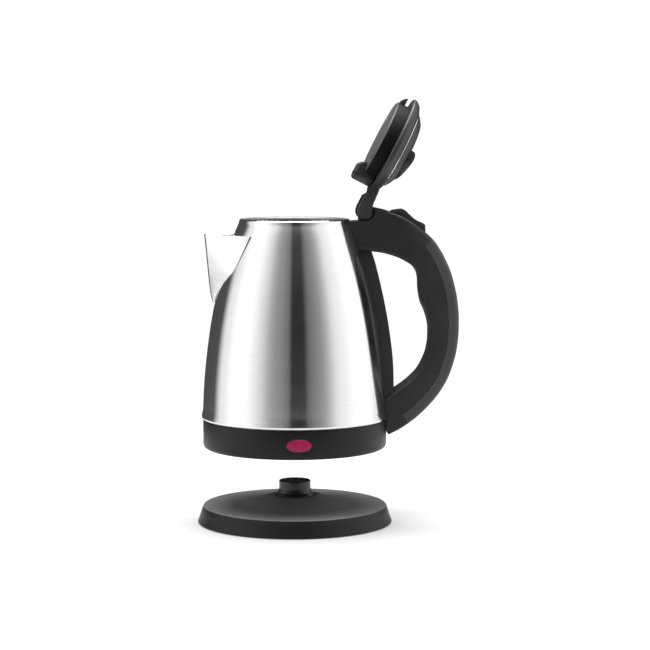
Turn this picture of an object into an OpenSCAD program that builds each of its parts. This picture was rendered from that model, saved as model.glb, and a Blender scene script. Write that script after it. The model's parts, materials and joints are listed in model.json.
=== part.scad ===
// Cordless steel kettle on a round power base, with its lid open and the kettle lifted off the base.
// Millimetres. +Z is up, the spout points to -X and the handle to +X.
// The origin is on the power base's axis, at the level of the surface that it stands on.

/* [Stored pose] */
// Gap between the kettle's ring and the power base's top
hover_gap = 47.8; // [0.3:0.1:80]
// Angle that the lid stands open from closed
lid_open = 117; // [0:1:117]

/* [Steel body] */
// Thickness of the pressed steel sheet
steel_t = 0.8; // [0.6:0.1:1.0]
// Radius of the hole inside the rolled lip
mouth_r = 39.4; // [38.5:0.1:40]
// Height of the lip's crest above the kettle's underside
mouth_h = 188.1; // [187.5:0.1:188.3]
// Half angle that the spout's rim takes up on the body
spout_half_angle = 35; // [30:1:38]
// How far the spout's tip stands out from the kettle's axis
spout_reach = 73.8; // [70:0.1:76]

/* [Lower ring] */
// Outer radius of the plastic ring under the steel body
ring_r = 75.4; // [75:0.1:76]
// Height of the plastic ring
ring_h = 24; // [23.5:0.1:24]
// Width of the indicator lens
lens_w = 19.6; // [14:0.1:22]
// Height of the indicator lens
lens_h = 9.6; // [7:0.1:11]

/* [Handle] */
// Half width of the handle
grip_half_w = 14.5; // [13.5:0.1:16]
// Wall of the handle's shells
grip_wall = 3; // [2.4:0.1:3.2]
// Half width of the strap that lies on the steel
strap_half_w = 11; // [9:0.1:12]

/* [Lid] */
// Radius of the lid's flange
flange_r = 42.4; // [41.5:0.1:42.8]
// Radius of the lid's inner skirt
skirt_r = 34.2; // [34:0.1:35]
// Depth of the inner skirt below the flange
skirt_depth = 11.2; // [11:0.1:12]
// Travel of the lid's latch
latch_travel = 3; // [2:0.1:3.2]

/* [Power base] */
// Radius of the power base at the table
base_r = 80.4; // [80:0.1:82]
// Height of the power base's flat top
base_h = 14.5; // [14.5:0.1:15]
// Radius of the connector column
column_r = 13.1; // [12.6:0.1:13.2]
// Height of the connector column's top above the table
column_h = 34.6; // [33:0.1:34.8]
// Radius of the mains lead that the inlet takes
lead_r = 3.4; // [3:0.1:3.5]

/* [Hidden] */

$fn = 96;

// Colours
steel = "#c9ccd0";
dark_plastic = "#2c2d30";
base_grey = "#4a4b4e";
inner_grey = "#5a5b5e";
brass = "#b8923e";
lens_red = "#7a1438";

// Small gaps: between pieces of one body, and between pieces that move past each other
seat_gap = 0.15;
run_gap = 0.3;

// M3 screws and the holes they run in
screw_r = 1.5;
screw_hole_r = 1.6;

// Heights above the kettle's underside
kettle_z = base_h + hover_gap;
steel_foot = ring_h + 0.4;
floor_top = 31;
floor_under = floor_top - steel_t;

// Lid hinge, in the kettle's frame
hinge_x = 57.4;
hinge_k = 194;
// The lid's flange plane closes on the lip, below the hinge by hinge_rise
flange_k = mouth_h + run_gap;
hinge_rise = hinge_k - flange_k;
pin_r = 2;
pin_gap = 0.05;
eye_r = 6.9;
arm_half_w = 11.6;
lug_half_w = 7;
lug_r = 5;

// Rocker pivot
rocker_x = 91;
rocker_k = 183;
rocker_pin_r = 1.25;
rocker_half_w = 9;

// ---------- Curves ----------

// Point at t along the smooth curve between p[i] and p[i + 1]
function curve_point(p, i, t) =
    let (a = p[max(i - 1, 0)], b = p[i], c = p[i + 1], d = p[min(i + 2, len(p) - 1)])
    0.5 * (2 * b + (c - a) * t + (2 * a - 5 * b + 4 * c - d) * t * t + (3 * b - a - 3 * c + d) * t * t * t);

// Smooth curve through the points p, with n steps between neighbours
function curve(p, n = 3) = concat(
    [for (i = [0 : len(p) - 2]) for (k = [0 : n - 1]) curve_point(p, i, k / n)],
    [p[len(p) - 1]]
);

function reversed(q) = [for (i = [len(q) - 1 : -1 : 0]) q[i]];

// Unit normal to the right of a curve at its point i
function side_of(q, i) =
    let (v = q[min(i + 1, len(q) - 1)] - q[max(i - 1, 0)])
    [v[1], -v[0]] / norm(v);

// The curve moved sideways by d
function shifted(q, d) = [for (i = [0 : len(q) - 1]) q[i] + d * side_of(q, i)];

function arc(cx, cy, r, from, to, n = 6) =
    [for (i = [0 : n]) let (a = from + (to - from) * i / n) [cx + r * cos(a), cy + r * sin(a)]];

function ellipse(w, h, n = 28) =
    [for (i = [0 : n - 1]) [w / 2 * cos(i * 360 / n), h / 2 * sin(i * 360 / n)]];

// ---------- Placing ----------

module in_kettle() {
    translate([0, 0, kettle_z]) children();
}

// The lid's own frame: its centre, at the flange's underside, +X towards the hinge
module in_lid() {
    translate([hinge_x, 0, kettle_z + hinge_k])
    rotate([0, lid_open, 0])
    translate([-hinge_x, 0, -hinge_rise])
    children();
}

// A side profile drawn in X and Z, made 2 * half_w thick about the middle plane
module slab(half_w) {
    rotate([90, 0, 0])
    linear_extrude(2 * half_w, center = true)
    children();
}

module along_x(r, from, to) {
    translate([from, 0, 0])
    rotate([0, 90, 0])
    cylinder(r = r, h = to - from);
}

module along_y(r, from, to) {
    translate([0, from, 0])
    rotate([-90, 0, 0])
    cylinder(r = r, h = to - from);
}

module block(low, high) {
    translate(low) cube(high - low);
}

// Pan head screw along +Z with its head below the origin
module screw(shank_r, length, head_r, head_h) {
    cylinder(r = shank_r, h = length);
    translate([0, 0, -head_h])
    difference() {
        cylinder(r = head_r, h = head_h + 0.01);
        block([-head_r, -0.4, -1], [head_r, 0.4, head_h * 0.45]);
    }
}

module washer(outer_r, inner_r, from, to) {
    translate([0, 0, from])
    difference() {
        cylinder(r = outer_r, h = to - from);
        translate([0, 0, -1]) cylinder(r = inner_r, h = to - from + 2);
    }
}

// ---------- Steel body ----------

// Outer profile as radius and height above the kettle's underside, foot to lip
side_profile = curve([
    [75.4, 30.4], [74.9, 45], [73.9, 60], [72.4, 75], [70.5, 90], [68.2, 105],
    [65.3, 120], [61.9, 135], [57.8, 150], [53, 165], [48.8, 177], [45, 186]
]);
bead_profile = [[75.3, steel_foot], [76.1, 25.3], [76.5, 26.6], [76.5, 28.2], [76.1, 29.5]];
crest_profile = [
    [44.1, mouth_h - 0.9], [42.9, mouth_h - 0.2], [41.6, mouth_h], [40.4, mouth_h - 0.4],
    [mouth_r + 0.2, mouth_h - 1.4], [mouth_r, mouth_h - 2.4], [mouth_r, mouth_h - 3.6]
];
outer_profile = concat(bead_profile, side_profile, crest_profile);

function side_r(k) = lookup(k, [for (p = side_profile) [p[1], p[0]]]);

// The body as a full solid, larger all round by grow, for cutting what lies on it
module body_blank(grow) {
    rim = shifted(concat(bead_profile, side_profile), grow);
    rotate_extrude()
    polygon(concat([[0, steel_foot - grow]], [[rim[0][0], steel_foot - grow]], rim, [[0, 186]]));
}

hole_rows = 6;
hole_r = 1.6;
hole_pitch = 6.4;
first_row = 133;

module strainer_holes() {
    for (row = [0 : hole_rows - 1]) {
        k = first_row + row * hole_pitch;
        reach = 1 + floor(row / 2);
        step = hole_pitch / side_r(k) * 180 / PI;
        for (j = [-reach : reach])
            rotate([0, 0, 180 + j * step])
            translate([0, 0, k])
            along_x(hole_r, side_r(k) - 8, side_r(k) + 8);
    }
}

// The two screws at the handle's top stand square to the steel
upper_screw_k = 171;
upper_screw_tilt = 20;
module at_upper_screws() {
    for (a = [-7, 7])
        rotate([0, 0, a])
        translate([side_r(upper_screw_k), 0, upper_screw_k])
        rotate([0, 90 - upper_screw_tilt, 0])
        children();
}

module body_shell() {
    color(steel)
    in_kettle()
    difference() {
        rotate_extrude()
        polygon(concat(outer_profile, reversed(shifted(outer_profile, -steel_t))));
        strainer_holes();
        at_upper_screws() cylinder(r = 2.1, h = 12, center = true);
    }
}

// Spout: a folded sheet, described by its section at each height
spout_top = 175.4;
spout_foot = 118;
nose_r = 3.6;
nose_line = [[118, 66.2], [121.5, 67.6], [128, 69.1], [139.6, 70.3], [158.5, 72], [spout_top, spout_reach]];
seam_top_x = side_r(spout_top) * cos(spout_half_angle);
seam_foot_x = side_r(spout_foot);

function nose_x(k) = lookup(k, nose_line);
function seam_x(k) = seam_foot_x + (seam_top_x - seam_foot_x) * (k - spout_foot) / (spout_top - spout_foot);
function seam_y(k) = sqrt(max(side_r(k) * side_r(k) - seam_x(k) * seam_x(k), 1));
function fold_angle(k) = atan2(seam_y(k), nose_x(k) - seam_x(k));

// One section of the folded sheet, its crease rounded to radius r
function spout_section(k, r, leg) =
    let (b = fold_angle(k), cx = -nose_x(k) + nose_r)
    let (bend = [for (i = [0 : 4]) let (a = 90 + b + (180 - 2 * b) * i / 4) [cx + r * cos(a), r * sin(a), k]])
    concat(
        [bend[0] + leg * [cos(b), sin(b), 0]],
        bend,
        [bend[4] + leg * [cos(b), -sin(b), 0]]
    );

// Solid through a stack of rings that have equally many points
module loft(rings) {
    m = len(rings[0]);
    n = len(rings);
    polyhedron(
        points = [for (ring = rings) each ring],
        faces = concat(
            [[for (i = [0 : m - 1]) i]],
            [[for (i = [m - 1 : -1 : 0]) (n - 1) * m + i]],
            [for (j = [0 : n - 2]) for (i = [0 : m - 1]) for (half = [0, 1])
                let (a = j * m + i, b = j * m + (i + 1) % m)
                half == 0 ? [a, a + m, b + m] : [a, b + m, b]]
        )
    );
}

spout_levels = [118, 121.5, 128, 139.6, 149, 158.5, 167, spout_top];
spout_legs = [6, 8, 16, 26, 32, 38, 42, 46];

module spout() {
    last = len(spout_levels) - 1;
    color(steel)
    in_kettle()
    difference() {
        loft([for (i = [0 : last]) spout_section(spout_levels[i], nose_r, spout_legs[i])]);
        loft([for (i = [0 : last])
            let (s = spout_section(spout_levels[i], nose_r - steel_t, spout_legs[i] + 3))
            [for (p = s) p + [0, 0, i == last ? 1 : i == 0 ? -1 : 0]]]);
        body_blank(seat_gap);
    }
}

// ---------- Heater under the vessel ----------

module vessel_floor() {
    edge_r = side_profile[0][0] - steel_t - seat_gap;
    color(steel)
    in_kettle()
    rotate_extrude()
    polygon([
        [0, floor_under], [edge_r - 1.8, floor_under], [edge_r - steel_t, floor_under - 1],
        [edge_r - steel_t, steel_foot + 0.6], [edge_r, steel_foot + 0.6],
        [edge_r, floor_top - 1.4], [edge_r - 0.4, floor_top - 0.5], [edge_r - 1.4, floor_top],
        [0, floor_top]
    ]);
}

spreader_t = 3;
spreader_under = floor_under - 0.1 - spreader_t;

module heat_spreader() {
    color("silver")
    in_kettle()
    translate([0, 0, spreader_under])
    cylinder(r = 60, h = spreader_t);
}

element_r = 46;
element_tube_r = 3.3;

// Sheathed ring with a gap for its two cold pins, which turn down
module heating_element() {
    tube_k = spreader_under - 0.1 - element_tube_r;
    gap = 26;
    color("dimgray")
    in_kettle() {
        rotate([0, 0, 180 + gap / 2])
        rotate_extrude(angle = 360 - gap)
        translate([element_r, tube_k]) circle(r = element_tube_r, $fn = 32);
        for (side = [-1, 1])
            rotate([0, 0, 180 + side * (gap / 2 + 4)])
            translate([element_r, 0, tube_k - 10])
            cylinder(r = 1.5, h = 9, $fn = 32);
    }
}

socket_r = 19.4;
socket_hole_r = socket_r + 0.6;
controller_top = spreader_under - 0.6;

module at_controller_posts() {
    for (a = [30, 150, 270])
        rotate([0, 0, a])
        translate([30, 0, 0])
        children();
}

module controller() {
    color("#e8e4d8")
    in_kettle()
    difference() {
        union() {
            translate([0, 0, 13]) cylinder(r = 27, h = controller_top - 13);
            at_controller_posts()
            translate([0, 0, 17]) cylinder(r = 5, h = controller_top - 17, $fn = 48);
            block([-38, -8, 15], [-22, 8, 23]);
            block([22, -7, 15], [36, 7, 22]);
        }
        translate([0, 0, 10]) cylinder(r = socket_hole_r, h = 20);
        at_controller_posts()
        translate([0, 0, 10]) cylinder(r = screw_hole_r, h = 20, $fn = 48);
    }
}

// Two snap discs that press on the spreader and cut the power when the kettle boils dry
module boil_dry_discs() {
    color(brass)
    in_kettle()
    for (a = [90, 210])
        rotate([0, 0, a])
        translate([23.5, 0, controller_top + 0.05])
        cylinder(r = 3, h = 0.45, $fn = 48);
}

module controller_screws() {
    color("silver")
    in_kettle()
    at_controller_posts()
    translate([0, 0, 16.9]) screw(screw_r, spreader_under - 16.9 - 0.05, 2.9, 1.8, $fn = 48);
}

// ---------- Plastic ring and underside ----------

ring_wall = 2.4;
wire_hole_k = 15;
wire_hole_r = 3;
lower_screw_y = 7.5;
lens_k = 11.6;
post_r = 64;

module at_cover_posts() {
    for (a = [60, 180, 300])
        rotate([0, 0, a])
        translate([post_r, 0, 0])
        children();
}

module lower_ring() {
    inner = ring_r - ring_wall;
    color(dark_plastic)
    in_kettle()
    difference() {
        union() {
            rotate_extrude()
            polygon(concat(
                [[68, 0]],
                arc(ring_r - 4, 4, 4, -90, 0, 5),
                [[ring_r, ring_h - 0.6], [ring_r - 0.6, ring_h], [69.5, ring_h], [69.5, ring_h - 2],
                 [inner, ring_h - 2], [inner, 5], [inner - 2, ring_wall], [68, ring_wall]]
            ));
            for (a = [60, 180, 300])
                rotate([0, 0, a])
                difference() {
                    block([post_r - 4, -4, 6.5], [inner + 0.6, 4, 18]);
                    translate([post_r, 0, 0]) cylinder(r = screw_hole_r, h = 30, $fn = 48);
                }
        }
        translate([0, -ring_r, lens_k])
        rotate([90, 0, 0])
        linear_extrude(12, center = true)
        polygon(ellipse(lens_w + 0.6, lens_h + 0.6));
        translate([0, 0, wire_hole_k]) along_x(wire_hole_r, 66, 80);
        for (side = [-1, 1])
            translate([0, side * lower_screw_y, wire_hole_k]) along_x(2.1, 66, 80);
    }
}

module foot_gasket() {
    color("#d8d8d4")
    in_kettle()
    washer(74.8, 70.5, ring_h + 0.04, steel_foot - 0.04);
}

cover_t = 2;
cover_under = ring_wall + 0.1;

// Plate that closes the underside, dished over the power base's cone
module bottom_cover() {
    color(dark_plastic)
    in_kettle()
    difference() {
        rotate_extrude()
        polygon([
            [socket_hole_r, 10], [22.5, 10], [46, cover_under], [70.4, cover_under],
            [70.4, cover_under + cover_t], [46.8, cover_under + cover_t], [23.3, 10 + cover_t],
            [socket_hole_r, 10 + cover_t]
        ]);
        at_cover_posts() cylinder(r = 1.7, h = 10, $fn = 48);
    }
}

module cover_screws() {
    color("silver")
    in_kettle()
    at_cover_posts()
    translate([0, 0, cover_under - 0.05]) screw(screw_r, 12, 3, 1.7, $fn = 48);
}

module indicator_lens() {
    color(lens_red)
    in_kettle()
    translate([0, -ring_r, lens_k])
    rotate([90, 0, 0]) {
        translate([0, 0, -3.7])
        linear_extrude(4.4)
        polygon(ellipse(lens_w, lens_h));
        // Flange behind the ring's wall
        translate([0, 0, -4.9])
        linear_extrude(1.3)
        polygon(ellipse(lens_w + 4, lens_h + 3));
    }
}

module indicator_lamp() {
    color("orange")
    in_kettle()
    translate([0, -67.8, lens_k]) {
        along_x(2.2, -6, 6);
        for (side = [-1, 1])
            translate([side * 7.6, 0, 0])
            cube([3, 5, 7], center = true);
    }
}

// ---------- Handle ----------

grip_outer = curve([
    [64.2, 197.4], [77.4, 194.2], [90, 188.8], [99.5, 183], [107.2, 176.8], [114.4, 169.7],
    [122.6, 156.6], [128.3, 143.5], [132.6, 127], [134.7, 110], [134.7, 94], [132.6, 77.5],
    [126.7, 58.2], [119.3, 45.1], [111.1, 35.3], [100.5, 25.4], [91.4, 18.9], [80, 12.3], [76.6, 10.7]
]);
grip_inner = curve([
    [62.6, 161.8], [74.2, 159.9], [84, 156.6], [93, 151.6], [99.6, 146.4], [101.9, 138], [102.3, 128.7],
    [104.2, 119], [108.6, 109], [110.5, 100], [110.3, 87.7], [108.2, 76.5], [103, 65.5],
    [93.1, 54.9], [84, 48.4], [80.4, 46]
]);
strap_outer = curve([
    [59.6, 164.5], [61.4, 159.5], [64.4, 150], [69.2, 130.4], [73, 112], [76, 93.5],
    [78.3, 74.6], [79.1, 58.2], [79.1, 42], [79.1, steel_foot + 0.3]
]);
strap_top = 164.5;

// Round pocket seen from the side, where the lid's arm meets the handle
pocket_r = eye_r + 0.6;
pocket_arc = arc(hinge_x, hinge_k, pocket_r, -90, 0, 6);

module handle_profile() {
    polygon(concat(
        [[40, 185.7]], pocket_arc, grip_outer,
        [[75.9, 10.7], [75.9, steel_foot + 0.3], [79.35, steel_foot + 0.3], [79.35, 46]],
        reversed(grip_inner),
        [[61.6, 162.6], [60, strap_top + 0.25], [40, strap_top + 0.25]]
    ));
}

// Band along the handle's spine that comes away as its cover
spine = curve([
    [113, 171.4], [118.5, 163.6], [122.6, 156.6], [128.3, 143.5], [132.6, 127], [134.7, 110], [134.7, 94],
    [132.6, 77.5], [126.7, 58.2], [119.3, 45.1], [111.1, 35.3], [100.5, 25.4], [93, 20]
]);
spine_depth = 8.5;
module spine_band() {
    polygon(concat(shifted(spine, -5), reversed(shifted(spine, spine_depth))));
}

module hollow_profile() {
    intersection() {
        offset(delta = -grip_wall) handle_profile();
        union() {
            block2([71, 60], [140, 200]);
            block2([90, 10], [140, 61]);
        }
    }
}

module block2(low, high) {
    translate(low) square(high - low);
}

// Lug in the middle of the pocket, which holds the hinge pin
module hinge_lug() {
    foot_k = hinge_k - pocket_r - 1.5;
    slab(lug_half_w)
    union() {
        translate([hinge_x, hinge_k]) circle(r = lug_r, $fn = 64);
        polygon([
            [hinge_x - lug_r, foot_k], [hinge_x + pocket_r + 2, foot_k],
            [hinge_x + pocket_r + 1.2, hinge_k - 0.5],
            [hinge_x + 1, hinge_k + lug_r - 0.2], [hinge_x - lug_r, hinge_k]
        ]);
    }
}

module rocker_opening() {
    slab(rocker_half_w + 0.6)
    polygon([[77.6, 204], [107.6, 204], [107.6, 171.5], [98, 174], [77.6, 186]]);
}

module handle_blank() {
    difference() {
        slab(grip_half_w) handle_profile();
        slab(grip_half_w - grip_wall) hollow_profile();
        body_blank(0.25);
    }
}

// Slanting hole that leads the wires from the ring up into the hollow grip
module wire_way() {
    translate([72, 0, wire_hole_k])
    rotate([0, -35, 0]) along_x(wire_hole_r, -1, 26);
}

module handle_shell() {
    color(dark_plastic)
    in_kettle()
    difference() {
        union() {
            handle_blank();
            hinge_lug();
        }
        slab(grip_half_w + 1) offset(delta = seat_gap) spine_band();
        rocker_opening();
        translate([hinge_x, 0, hinge_k]) along_y(pin_r, -20, 20);
        translate([rocker_x, 0, rocker_k]) along_y(rocker_pin_r, -13.2, 13.2);
        at_upper_screws() cylinder(r = screw_hole_r, h = 13, $fn = 48);
        wire_way();
        for (side = [-1, 1])
            translate([0, side * lower_screw_y, wire_hole_k]) along_x(screw_hole_r, 70, 87);
    }
}

module handle_cover() {
    color("#36373a")
    in_kettle()
    difference() {
        intersection() {
            handle_blank();
            slab(grip_half_w + 1) spine_band();
        }
        wire_way();
    }
}

module handle_strap() {
    color(dark_plastic)
    in_kettle()
    difference() {
        slab(strap_half_w)
        polygon(concat([[40, strap_top], [40, steel_foot + 0.3]], reversed(strap_outer)));
        body_blank(0.25);
    }
}

// Two long screws through the steel into the handle's top, two from the ring into its foot
module handle_screws() {
    color("silver")
    in_kettle() {
        at_upper_screws()
        translate([0, 0, -2.6]) screw(screw_r, 14, 3.4, 1.8, $fn = 48);
        for (side = [-1, 1])
            translate([71.9, side * lower_screw_y, wire_hole_k])
            rotate([0, 90, 0]) screw(screw_r, 13.9, 3.2, 1.8, $fn = 48);
    }
}

module screw_seals() {
    color("#8c3a2a")
    in_kettle()
    at_upper_screws() washer(3.8, 1.6, -2.5, -1.1, $fn = 48);
}

module steam_switch() {
    color("#e8e4d8")
    in_kettle()
    difference() {
        union() {
            block([80, -7, 162.5], [99, 7, 173]);
            block([84, -4, 172.9], [88.4, 4, 175.6]);
        }
        block([89.5, -5, 169], [96, 5, 174]);
    }
}

module steam_disc() {
    color(brass)
    in_kettle()
    translate([0, 0, 167.5]) along_x(5, 79.2, 79.7, $fn = 48);
}

// Two flat insulated leads along the handle, from the ring to the steam switch
lead_path = curve([
    [89, 160.8], [96, 157.5], [104, 153.2], [109.5, 146.5], [111.5, 136], [112.4, 126],
    [116, 115], [118, 104],
    [117.8, 90], [115.4, 76], [109, 62], [101, 52], [95, 44], [93, 36], [91.8, 29.5],
    [84, 23], [75.5, 16.2], [70, 15], [60, 15]
], 2);
module wire_harness() {
    color("#b0322a")
    in_kettle()
    for (side = [-1, 1])
        translate([0, side * 1.3, 0])
        slab(1)
        polygon(concat(shifted(lead_path, 0.9), reversed(shifted(lead_path, -0.9))));
}

module hinge_pin() {
    color("silver")
    translate([hinge_x, 0, kettle_z + hinge_k]) along_y(pin_r, -arm_half_w, arm_half_w, $fn = 64);
}

module rocker_pin() {
    color("silver")
    translate([rocker_x, 0, kettle_z + rocker_k]) along_y(rocker_pin_r, -13, 13, $fn = 64);
}

module switch_rocker() {
    color("#333438")
    in_kettle()
    difference() {
        union() {
            slab(rocker_half_w)
            polygon([
                [78.4, 192], [78.6, 193.7], [80.2, 195], [88.2, 195.9], [89.8, 195.3], [98.5, 187.6],
                [105.4, 184.2], [106.5, 183], [106.9, 178.4], [104.2, 178.6], [97, 182.4],
                [88, 188], [81, 191]
            ]);
            slab(4) polygon([[88.6, 190], [93.4, 187], [94, 181], [92.2, 177], [90.2, 177], [88, 181]]);
        }
        translate([rocker_x, 0, rocker_k]) along_y(rocker_pin_r + pin_gap, -20, 20, $fn = 64);
    }
}

// ---------- Lid ----------

flange_top = 8;
trim_r = 34.2;
cap_r = 33;
cap_profile = [
    [cap_r, 9], [31.6, 10.5], [28.4, 12.9], [24.6, 14.8], [18, 16], [10, 16.6], [0, 16.8]
];

// Room over the cap's dome, larger all round by grow
module dome_blank(grow) {
    rotate_extrude()
    polygon(concat([[0, 0]], [[cap_r + grow, 0]], [for (p = cap_profile) p + [p[0] > 0 ? grow : 0, grow]]));
}

arm_cheek_t = 2.6;

arm_top = 9.2;
arm_foot = -1.6;
// Channel-shaped arm: two cheeks and a web, with the hinge eyes at its end
module lid_arm() {
    difference() {
        slab(arm_half_w)
        union() {
            translate([hinge_x, hinge_rise]) circle(r = eye_r, $fn = 64);
            polygon([
                [hinge_x + 0.6, hinge_rise - eye_r + 0.1], [hinge_x - 1, arm_foot],
                [46.2, arm_foot], [44.6, -0.2],
                [43.4, run_gap], [34, run_gap], [34, flange_top], [37.2, arm_top],
                [50.8, arm_top + 0.3], [55, hinge_rise + eye_r - 0.6]
            ]);
        }
        // The cheeks stay, the middle is open below the web and round the handle's lug
        slab(arm_half_w - arm_cheek_t)
        union() {
            polygon([[45.6, -10], [70, -10], [70, hinge_rise - 0.6], [45.6, hinge_rise - 0.6]]);
            translate([hinge_x, hinge_rise]) circle(r = 7.6, $fn = 64);
        }
        translate([0, 0, -10]) cylinder(r = 34.6, h = 40);
        translate([hinge_x, 0, hinge_rise]) along_y(pin_r + pin_gap, -20, 20, $fn = 64);
    }
}

module lid_flange() {
    color(dark_plastic)
    in_lid() {
        difference() {
            rotate_extrude()
            polygon([
                [skirt_r - 3.2, 0], [flange_r - 0.7, 0], [flange_r, 0.7], [flange_r - 0.2, 2],
                [flange_r - 1.3, 3.9],
                [flange_r - 3.6, 6.1], [36.6, 7.6], [trim_r + 0.4, flange_top + 0.4],
                [trim_r + 0.1, flange_top + 0.4],
                [trim_r + 0.1, flange_top - 0.2], [cap_r - 2.4, flange_top - 0.2],
                [cap_r - 2.4, flange_top - 2], [34.4, flange_top - 2], [39.6, 2.2], [skirt_r - 3.2, 2.2]
            ]);
            block([30, -7, 2.3], [46, 7, 3]);
        }
        lid_arm();
    }
}

module lid_trim_ring() {
    color("white")
    in_lid()
    washer(trim_r, cap_r - 2, flange_top - 0.1, flange_top + 0.7);
}

module at_lid_screws() {
    for (a = [45, 135, 225, 315])
        rotate([0, 0, a])
        translate([26.4, 0, 0])
        children();
}

module lid_cap() {
    boss_r = 3;
    color(dark_plastic)
    in_lid()
    difference() {
        union() {
            rotate_extrude()
            polygon(concat(
                [[cap_r, flange_top + 0.8]], cap_profile, [[0, 14.8]],
                [[10, 14.6], [18, 13.9], [23.6, 12.7], [28.6, 10.3], [30.6, flange_top + 0.8]]
            ));
            at_lid_screws() cylinder(r = boss_r, h = 11, $fn = 48);
        }
        at_lid_screws()
        translate([0, 0, -1]) cylinder(r = screw_hole_r, h = 9, $fn = 48);
        // Slot for the thumb ridge's stem
        block([-4, -5.4, 10], [5 + latch_travel, 5.4, 20]);
    }
}

guide_y = 6.3;
slide_top = -4.6;
slide_foot = -8.6;
// The lid's screw heads sit this deep in their recesses
head_sink = 1.7;

module lid_inner() {
    color(inner_grey)
    in_lid()
    difference() {
        union() {
            rotate_extrude()
            polygon([
                [0, -skirt_depth], [skirt_r - 2, -skirt_depth], [skirt_r, 2 - skirt_depth],
                [skirt_r, -seat_gap],
                [skirt_r - 2, -seat_gap], [skirt_r - 2, 2 - skirt_depth], [0, 2 - skirt_depth]
            ]);
            for (side = [-1, 1])
                translate([0, side * (guide_y + 0.9), 0])
                block([-30, -0.9, 1.5 - skirt_depth], [10, 0.9, slide_top - 0.9]);
            at_lid_screws()
            translate([0, 0, 1 - skirt_depth]) cylinder(r = 3.6, h = skirt_depth - 1.2, $fn = 48);
        }
        block([-40, -guide_y, -9.8], [-31, guide_y, slide_top + 0.4]);
        block([23, -8, -skirt_depth - 1], [31, 8, 3 - skirt_depth]);
        at_lid_screws()
        translate([0, 0, -skirt_depth - 1]) {
            cylinder(r = screw_hole_r, h = 20, $fn = 48);
            cylinder(r = 3.1, h = 1 + head_sink, $fn = 48);
        }
    }
}

// Box under the lid that takes steam to the hinge side
duct_foot = -17.2;
duct_top = -1.2;
duct_r = 38;
duct_half_w = 19;
module lid_steam_duct() {
    color(dark_plastic)
    in_lid()
    difference() {
        intersection() {
            slab(duct_half_w)
            polygon([
                [21.6, -skirt_depth - 0.1], [21.6, duct_foot + 2.6], [24.2, duct_foot], [36.4, duct_foot],
                [duct_r, duct_foot + 1.6], [duct_r, duct_top], [25, duct_top], [25, -skirt_depth - 0.1]
            ]);
            translate([0, 0, -30]) cylinder(r = duct_r, h = 30);
        }
        translate([0, 0, -skirt_depth - 0.1]) cylinder(r = skirt_r + 0.2, h = 30);
        block([22.8, 3 - duct_half_w, duct_foot + 1.6], [30.4, duct_half_w - 3, -skirt_depth + 0.5]);
    }
}

module lid_screws() {
    color("silver")
    in_lid()
    at_lid_screws()
    translate([0, 0, head_sink - 0.05 - skirt_depth]) screw(screw_r, 15.5, 2.8, 1.5, $fn = 48);
}

hook_tip = 40.4;

// Slide inside the lid whose bevelled nose snaps under the lip
module lid_latch() {
    color("#1d1e20")
    in_lid()
    union() {
        slab(guide_y - 0.3)
        polygon([
            [-hook_tip, slide_top], [-38.6, -6.6], [-36.4, -8.5], [-34.2, -9.2], [-33, -9.2],
            [-32, slide_foot],
            [6, slide_foot], [6, slide_top]
        ]);
        block([-3.6, -5, slide_top - 0.1], [4.4, 5, 15]);
    }
}

// Half-moon that the thumb pulls back
module thumb_ridge() {
    color(dark_plastic)
    in_lid()
    union() {
        difference() {
            intersection() {
                slab(26)
                polygon([
                    [-3.4, 13], [-3.2, 17.7], [-1.6, 19.4], [1.6, 20.2], [5, 20.2], [10, 19.4], [19, 17.4],
                    [23, 15.7], [24.4, 14.4], [24.4, 9]
                ]);
                cylinder(r = 24.2, h = 30);
            }
            dome_blank(0.3);
        }
        block([-3, -4.8, 15.1], [4, 4.8, 18]);
    }
}

// ---------- Coupler in the kettle ----------

socket_top = 24.6;
socket_mouth = 9.8;
socket_bore_r = column_r + 0.6;
socket_ceiling = 21.3;
earth_pin_r = 1.6;

module base_socket() {
    color("#1d1e20")
    in_kettle()
    rotate_extrude()
    polygon([
        [1.7, socket_ceiling], [socket_bore_r, socket_ceiling], [socket_bore_r, 14.2], [17, 10.4],
        [17.2, socket_mouth], [socket_r, socket_mouth], [socket_r, socket_top], [1.7, socket_top]
    ]);
}

// Two ring blades that reach into the column's slots
module socket_rings() {
    color(brass)
    in_kettle() {
        washer(10.6, 9.9, 12.2, socket_ceiling - 0.05);
        washer(6.4, 5.7, 12.2, socket_ceiling - 0.05);
    }
}

module earth_pin() {
    color(brass)
    in_kettle()
    translate([0, 0, 10.8]) {
        cylinder(r = earth_pin_r, h = socket_top - 10.8 - 0.4, $fn = 48);
        sphere(r = earth_pin_r, $fn = 48);
    }
}

// ---------- Power base ----------

skirt_gap = 0.4;
base_wall = 2.2;
cone_top = base_h + 8;
gland_z = 7.2;
gland_r = 4.8;

module at_base_posts() {
    for (a = [30, 150, 270])
        rotate([0, 0, a])
        translate([66, 0, 0])
        children();
}

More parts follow.
